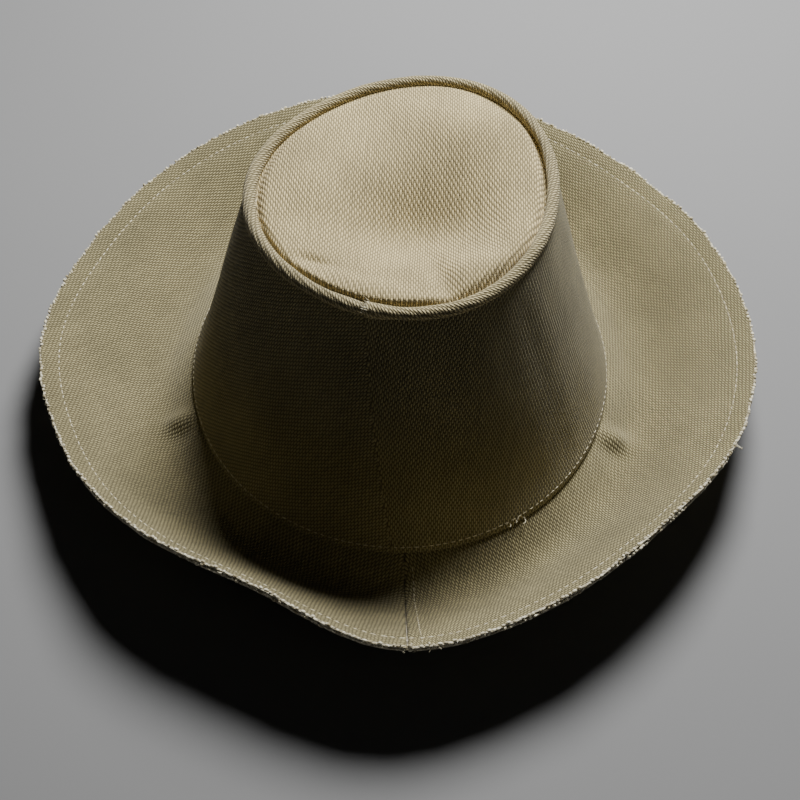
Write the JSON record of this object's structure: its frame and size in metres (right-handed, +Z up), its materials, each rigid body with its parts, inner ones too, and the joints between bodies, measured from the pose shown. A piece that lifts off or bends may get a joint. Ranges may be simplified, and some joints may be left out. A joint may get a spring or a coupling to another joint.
{
  "type": "boonie hat",
  "caption": "Soft canvas boonie hat with a conical crown, a sunk oval tip inside a bound edge, and a wide upturned two-layer brim with a raw edge.",
  "frame": {"origin": "middle of the hat's box, on the surface that its brim rests on", "axes": "+Z up, the way the crown stands; +Y towards the wearer's front; +X towards the wearer's right"},
  "size_m": [0.309, 0.3234, 0.1109],
  "materials": {
    "olive_canvas": "matt plain-weave cotton duck, olive drab",
    "tip_canvas": "the same matt duck, seen along the bias",
    "binding_canvas": "bias-cut strip of the same matt duck",
    "sweatband_twill": "matt cotton twill, slightly lighter",
    "sewing_thread": "matt beige spun thread"
  },
  "bodies": {
    "root": {"crown_tip": "tip_canvas", "crown_edge_binding": "binding_canvas", "crown_side_left": "olive_canvas", "crown_side_right": "olive_canvas", "brim_top_left": "olive_canvas", "brim_top_right": "olive_canvas", "brim_under_left": "olive_canvas", "brim_under_right": "olive_canvas", "sweatband": "sweatband_twill", "tip_seam_thread": "sewing_thread", "crown_base_topstitching": "sewing_thread", "crown_back_seam_thread": "sewing_thread", "crown_front_seam_thread": "sewing_thread", "brim_edge_stitching": "sewing_thread", "brim_edge_bobbin_stitching": "sewing_thread", "brim_back_seam_topstitching": "sewing_thread", "brim_front_seam_topstitching": "sewing_thread", "sweatband_stitching": "sewing_thread", "sweatband_join_stitching": "sewing_thread"}
  },
  "joints": []
}
